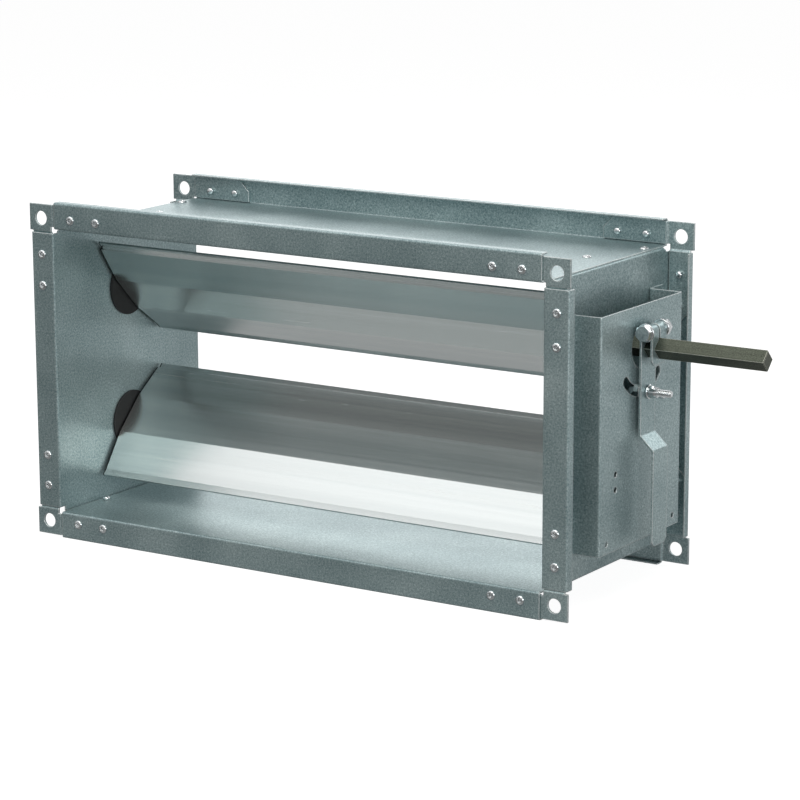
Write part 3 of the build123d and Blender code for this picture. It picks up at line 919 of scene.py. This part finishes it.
@dataclass
class Hardware:
    """Hexagon heads, nuts, washers and threads of one screw size."""

    across: float = 10.0 * MM
    screw_radius: float = 3.0 * MM
    clearance: float = 0.1 * MM
    pitch: float = 1.0 * MM
    head_height: float = 4.0 * MM
    nut_height: float = 5.0 * MM
    chamfer: float = 0.62
    ridge: float = 0.52

    def hexagon(self, name: str, height: float, bored: bool, both_ends: bool) -> bpy.types.Object:
        """Hexagonal block with its corners turned off.

        Args:
            name: Name of the object.
            height: Its height above the seat.
            bored: Whether a screw's bore runs through it.
            both_ends: Whether the seat's corners are turned off too.

        Returns:
            The block, seated at the origin.
        """
        corner = self.across / math.sqrt(3)
        flat = self.across / 2
        drop = (corner - flat) * self.chamfer
        face, clear = flat * 0.96, corner * 1.02
        select_only()
        bpy.ops.mesh.primitive_cylinder_add(
            vertices=6, radius=corner, depth=height, location=(0, 0, height / 2),
            rotation=(0, 0, math.radians(30)))
        block = bpy.context.object
        bpy.ops.object.transform_apply(location=True, rotation=True, scale=True)
        start = drop if both_ends else 0.0
        foot = face if both_ends else clear
        rings = [
            (foot, -OVERCUT), (foot, 0.0), (clear, start + 2 * OVERCUT), (clear, height - drop),
            (face, height), (face, height + OVERCUT)]
        if bored:
            bore = self.screw_radius + self.clearance
            rings += [(bore, height + OVERCUT), (bore, -OVERCUT), rings[0]]
        cutter = turned(name + "_cutter", rings, 48, bored)
        apply_modifier(block, "BOOLEAN", operation="INTERSECT", object=cutter, solver="EXACT")
        bpy.data.objects.remove(cutter)
        block.name = name
        return block

    def thread(self, name: str, start: float, end: float) -> bpy.types.Object:
        """Threaded stretch of a screw between two heights.

        Args:
            name: Name of the object.
            start: Height at which the thread begins.
            end: Height of the screw's end.

        Returns:
            Core and helical ridge as one object.
        """
        crest = self.screw_radius * 0.985
        root = crest - self.pitch * self.ridge
        core = turned(name, [
            (root, start - self.pitch), (root, end - root * 0.35), (root * 0.94, end - root * 0.16),
            (root * 0.74, end)], 24)
        side = self.pitch * self.ridge
        select_only()
        bpy.ops.mesh.primitive_circle_add(
            vertices=3, radius=side, fill_type="NOTHING", location=(crest - side, 0, start),
            rotation=(math.pi / 2, math.pi / 2, 0))
        ridge = bpy.context.object
        bpy.ops.object.transform_apply(location=True, rotation=True, scale=True)
        turns = max(1, int((end - start - self.pitch * 0.8) / self.pitch))
        apply_modifier(
            ridge, "SCREW", angle=math.tau, screw_offset=self.pitch, iterations=turns,
            steps=24, render_steps=24, use_merge_vertices=True, merge_threshold=WELD / 10)
        bpy.ops.object.mode_set(mode="EDIT")
        bpy.ops.mesh.select_mode(type="EDGE")
        bpy.ops.mesh.select_all(action="DESELECT")
        bpy.ops.mesh.select_non_manifold()
        bpy.ops.mesh.fill()
        bpy.ops.mesh.select_all(action="SELECT")
        bpy.ops.mesh.normals_make_consistent(inside=False)
        bpy.ops.object.mode_set(mode="OBJECT")
        return joined(name, [core, ridge])

    def bolt(self, name: str, length: float, plain: float) -> bpy.types.Object:
        """Hexagon-head bolt whose seat is at the origin and whose shank runs up.

        Args:
            name: Name of the object.
            length: Length of the shank.
            plain: Length of its unthreaded stretch.

        Returns:
            The bolt.
        """
        head = self.hexagon(name + "_head", self.head_height, False, False)
        seated(head, ORIGIN, Axis.DOWN)
        shank = turned(name + "_shank", [(self.screw_radius, -0.5 * MM), (self.screw_radius, plain)], 32)
        thread = self.thread(name + "_thread", plain, length)
        return smoothed(joined(name, [head, shank, thread]), 28)

    def nut(self, name: str) -> bpy.types.Object:
        """Hexagon nut, seated at the origin.

        Args:
            name: Name of the object.

        Returns:
            The nut.
        """
        return smoothed(self.hexagon(name, self.nut_height, True, True), 28)

    def washer(self, name: str, outer: float, thickness: float) -> bpy.types.Object:
        """Flat washer with rounded edges, seated at the origin.

        Args:
            name: Name of the object.
            outer: Outer radius.
            thickness: Its thickness.

        Returns:
            The washer.
        """
        bore = self.screw_radius + self.clearance
        soft = thickness * 0.22
        rings = [
            (bore, soft), (bore + soft, 0.0), (outer - soft, 0.0), (outer, soft), (outer, thickness - soft),
            (outer - soft, thickness), (bore + soft, thickness), (bore, thickness - soft), (bore, soft)]
        return smoothed(turned(name, rings, 40, bored=True), 50)


@dataclass
class ClampScrew:
    """Bolt, nut and washers that squeeze the lever's eyes onto the drive bar."""

    hardware: Hardware = field(default_factory=Hardware)
    head_turn: float = 42.0
    nut_turn: float = 55.0
    thread_before_nut: float = 6.0 * MM

    def build(self, shop: Paintshop) -> None:
        """Model the four fasteners at their CAD places.

        Args:
            shop: Where the finish comes from.
        """
        low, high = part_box("clamp_bolt")
        nut_low, nut_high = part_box("clamp_nut")
        axis_x = (nut_low.x + nut_high.x) / 2
        axis_z = (nut_low.z + nut_high.z) / 2
        seat = low.y + self.hardware.head_height
        plain = nut_low.y - seat - self.thread_before_nut
        bolt = self.hardware.bolt("clamp_bolt_dressed", high.y - seat, plain)
        place = Vector((axis_x, seat, axis_z))
        stand_in(seated(bolt, place, Axis.BACKWARD, self.head_turn), "clamp_bolt", Slot.ZINC, shop)
        nut = self.hardware.nut("clamp_nut_dressed")
        place = Vector((axis_x, nut_low.y, axis_z))
        stand_in(seated(nut, place, Axis.BACKWARD, self.nut_turn), "clamp_nut", Slot.ZINC, shop)
        rings = []
        for ring_low, ring_high in solids("clamp_washers"):
            radius = (ring_high.x - ring_low.x) / 2
            ring = self.hardware.washer("clamp_washer", radius, ring_high.y - ring_low.y)
            rings.append(seated(ring, Vector((axis_x, ring_low.y, axis_z)), Axis.BACKWARD))
        stand_in(joined("clamp_washers_dressed", rings), "clamp_washers", Slot.ZINC, shop)


@dataclass
class LockScrew:
    """Bolt through the arc slot, with its washers and its wing nut."""

    hardware: Hardware = field(
        default_factory=lambda: Hardware(
            across=8.0 * MM, screw_radius=2.5 * MM, pitch=0.8 * MM, head_height=3.5 * MM)
    )
    plain: float = 2.0 * MM
    hub_radius: float = 4.25 * MM
    hub_height: float = 5.5 * MM
    lobe_radius: float = 2.55 * MM
    reach: float = 9.15 * MM
    wing_thickness: float = 2.0 * MM
    wing_slope: float = 0.75
    wing_draw: float = 1.35
    wing_bevel: float = 0.45 * MM
    wing_turn: float = -33.0

    def wing(self, side: int) -> bpy.types.Object:
        """One lobed wing, drawn in towards the hub.

        Args:
            side: 1 or -1, the side of the hub along X.

        Returns:
            The wing.
        """
        select_only()
        rise = self.hub_height - self.lobe_radius / 4
        centre = Vector((side * (self.reach - self.lobe_radius), 0, rise))
        bpy.ops.mesh.primitive_cylinder_add(
            vertices=24, radius=self.lobe_radius, depth=self.wing_thickness, location=centre,
            rotation=(math.pi / 2, 0, 0))
        piece = bpy.context.object
        bpy.ops.object.transform_apply(location=True, rotation=True, scale=True)
        inward = Vector((-side, 0, -self.wing_slope)).normalized()
        bpy.ops.object.mode_set(mode="EDIT")
        pick_faces(piece, lambda face: face.normal.dot(inward) > 0.72)
        bpy.ops.mesh.extrude_region_move(
            TRANSFORM_OT_translate={"value": inward * self.lobe_radius * self.wing_draw})
        bpy.ops.transform.resize(
            value=(1.0, 1.25, 1.15), center_override=centre + inward * self.lobe_radius * 2)
        bpy.ops.mesh.select_all(action="SELECT")
        bpy.ops.mesh.normals_make_consistent(inside=False)
        bpy.ops.object.mode_set(mode="OBJECT")
        apply_modifier(
            piece, "BEVEL", width=self.wing_bevel, segments=3, limit_method="ANGLE",
            angle_limit=math.radians(40))
        return piece

    def wing_nut(self) -> bpy.types.Object:
        """Wing nut seated at the origin, its wings along X.

        Returns:
            The wing nut.
        """
        bore = self.hardware.screw_radius + self.hardware.clearance
        wide, tall = self.hub_radius, self.hub_height
        rings = [
            (bore, 0.0), (wide * 0.94, 0.0), (wide, tall * 0.06), (wide * 0.97, tall * 0.22),
            (wide * 0.88, tall * 0.6), (wide * 0.84, tall * 0.92), (wide * 0.78, tall),
            (bore * 1.12, tall), (bore, tall * 0.93), (bore, 0.0)]
        hub = turned("wing_nut_hub", rings, 32, bored=True)
        return smoothed(joined("wing_nut_dressed", [hub, self.wing(1), self.wing(-1)]), 40)

    def build(self, shop: Paintshop) -> None:
        """Model the fasteners at their CAD places.

        Args:
            shop: Where the finish comes from.
        """
        low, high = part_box("lock_bolt")
        axis_y = (low.y + high.y) / 2
        axis_z = (low.z + high.z) / 2
        seat = low.x + self.hardware.head_height
        bolt = self.hardware.bolt("lock_bolt_dressed", high.x - seat, self.plain)
        stand_in(seated(bolt, Vector((seat, axis_y, axis_z)), Axis.OUTWARD), "lock_bolt", Slot.ZINC, shop)
        rings = []
        for ring_low, ring_high in solids("lock_washers"):
            radius = (ring_high.z - ring_low.z) / 2
            ring = self.hardware.washer("lock_washer", radius, ring_high.x - ring_low.x)
            rings.append(seated(ring, Vector((ring_low.x, axis_y, axis_z)), Axis.OUTWARD))
        stand_in(joined("lock_washers_dressed", rings), "lock_washers", Slot.ZINC, shop)
        nut_low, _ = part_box("wing_nut")
        place = Vector((nut_low.x, axis_y, axis_z))
        nut = seated(self.wing_nut(), place, Axis.OUTWARD, self.wing_turn)
        stand_in(nut, "wing_nut", Slot.ZINC, shop)


@dataclass
class Casework:
    """CAD nodes whose shape is right: they keep it and get their finishes."""

    replaced: Iterable[str]

    def build(self, shop: Paintshop) -> None:
        """Dress every CAD node that nothing stands for.

        Args:
            shop: Where the finishes come from.
        """
        slots = {row["node"]: row["material_slot"] for row in frame["record"]["subparts"]}
        for name, node in frame["nodes"].items():
            if name in self.replaced:
                continue
            shop.dress(node, Slot(slots[name]))
            LOG.info("%s keeps its CAD shape", name)


# --- studio ----------------------------------------------------------------------------------


@dataclass
class Softbox:
    """Large soft lamp aimed at the damper."""

    name: str
    place: tuple[float, float, float]
    size: float
    watts: float
    colour: Colour = (1.0, 1.0, 1.0)

    def build(self, target: Vector) -> None:
        """Hang the lamp and aim it at a point.

        Args:
            target: The point.
        """
        lamp = bpy.data.lights.new(self.name, "AREA")
        lamp.shape = "DISK"
        lamp.size = self.size
        lamp.energy = self.watts
        lamp.color = self.colour
        obj = bpy.data.objects.new(self.name, lamp)
        bpy.context.scene.collection.objects.link(obj)
        obj.location = self.place
        obj.rotation_mode = "QUATERNION"
        obj.rotation_quaternion = (target - obj.location).to_track_quat("-Z", "Y")


@dataclass
class Studio:
    """Pale floor, white backdrop, soft lamps and the camera."""

    camera_place: tuple[float, float, float] = (1.1868, -1.6974, 0.4569)
    azimuth: float = 32.12
    elevation: float = 13.25
    lens: float = 140.5
    sensor: float = 36.0
    shift: tuple[float, float] = (-0.0485, 0.0596)
    floor_size: float = 14.0
    ambient: float = 0.14
    mirrored: float = 0.62
    near_floor: float = 0.10
    near_y: float = -0.25
    far_y: float = 0.6
    floor_glow: float = 0.93
    floor_colour: Colour = (0.36, 0.36, 0.36)
    mirrored_floor: Colour = (0.15, 0.15, 0.15)
    lamps: tuple[Softbox, ...] = (
        Softbox("softbox_top_left", (-0.80, -0.50, 1.60), 1.6, 5.6),
        Softbox("softbox_top", (0.45, -0.95, 1.50), 1.2, 14.0, (1.0, 0.965, 0.91)),
        Softbox("softbox_right", (2.1, -0.95, 0.40), 1.0, 13.0),
        Softbox("softbox_back_left", (-1.0, 1.75, 0.9), 1.4, 6.5),
        Softbox("softbox_back_right", (0.55, 1.80, 1.15), 0.9, 4.5),
    )

    @staticmethod
    def _seen(graph: Graph) -> Value:
        """1 for rays of the camera and through glass, else 0.

        Args:
            graph: Graph to add the nodes to.

        Returns:
            The value.
        """
        camera = graph.node("ShaderNodeLightPath", output="Is Camera Ray")
        return camera.maximum(graph.node("ShaderNodeLightPath", output="Is Transmission Ray"))

    def build_world(self) -> None:
        """White surroundings, dimmer in mirrors, that light the damper only softly."""
        world = bpy.data.worlds.new("surroundings")
        world.use_nodes = True
        bpy.context.scene.world = world
        graph = Graph(world.node_tree)
        diffuse = graph.node("ShaderNodeLightPath", output="Is Diffuse Ray")
        glossy = graph.node("ShaderNodeLightPath", output="Is Glossy Ray")
        strength = self._seen(graph).maximum(glossy * self.mirrored).maximum(diffuse * self.ambient)
        shader = graph.node("ShaderNodeBackground", inputs={"Color": (1, 1, 1, 1), "Strength": strength})
        graph.node("ShaderNodeOutputWorld", inputs={"Surface": shader})

    def build_floor(self, height: float) -> None:
        """Pale floor that keeps the damper's shadow.

        Args:
            height: Height of the floor.
        """
        select_only()
        bpy.ops.mesh.primitive_plane_add(size=self.floor_size, location=(0, 0, height))
        floor = bpy.context.object
        floor.name = "studio_floor"
        material, graph = new_material("studio_floor")
        place = graph.node("ShaderNodeNewGeometry", output="Position")
        forward = graph.node("ShaderNodeSeparateXYZ", inputs={0: place}, output="Y")
        glossy = graph.node("ShaderNodeLightPath", output="Is Glossy Ray")
        inputs = {
            "Value": forward, "From Min": self.near_y, "From Max": self.far_y,
            "To Min": self.near_floor, "To Max": self.mirrored}
        backdrop = graph.node("ShaderNodeMapRange", {"interpolation_type": "SMOOTHSTEP"}, inputs)
        glow = (self._seen(graph) * self.floor_glow).maximum(glossy * backdrop)
        graph.surface(
            Base_Color=graph.mix(glossy, self.floor_colour, self.mirrored_floor),
            Roughness=0.9, Specular_IOR_Level=0.0, Emission_Color=(1.0, 1.0, 1.0),
            Emission_Strength=glow)
        floor.data.materials.append(material)
        floor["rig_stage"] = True

    def build_camera(self) -> None:
        """Camera at the viewing angle."""
        lens = bpy.data.cameras.new("camera")
        lens.lens = self.lens
        lens.sensor_width = self.sensor
        lens.shift_x, lens.shift_y = self.shift
        camera = bpy.data.objects.new("camera", lens)
        bpy.context.scene.collection.objects.link(camera)
        camera.location = self.camera_place
        camera.rotation_euler = (math.radians(90 - self.elevation), 0, math.radians(self.azimuth))
        bpy.context.scene.camera = camera

    def build(self, box: tuple[Vector, Vector]) -> None:
        """Set up the studio round the damper's box.

        Args:
            box: Lowest and highest corner.
        """
        bpy.context.scene.view_settings.view_transform = "Standard"
        low, high = (Vector(corner) for corner in box)
        self.build_world()
        self.build_floor(low.z)
        for lamp in self.lamps:
            lamp.build((low + high) / 2)
        self.build_camera()


def main() -> None:
    """Build the damper's visual model in its studio."""
    logging.basicConfig(level=logging.INFO, format="%(name)s: %(message)s")
    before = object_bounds()
    shop = Paintshop()
    rivets = [
        Rivets("rivets_front_flange", lambda low: Axis.FORWARD),
        Rivets("rivets_rear_flange", lambda low: Axis.BACKWARD),
        Rivets("rivets_seams", lambda low: Axis.UP if low.z > 0 else Axis.DOWN),
        Rivets("rivets_bracket", lambda low: Axis.OUTWARD)]
    for group in rivets:
        group.build(shop)
    ClampScrew().build(shop)
    LockScrew().build(shop)
    replaced = {name for piece in bpy.data.objects for name in piece.get("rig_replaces", [])}
    Casework(replaced).build(shop)
    Studio().build(before)


if __name__ == "__main__":
    main()
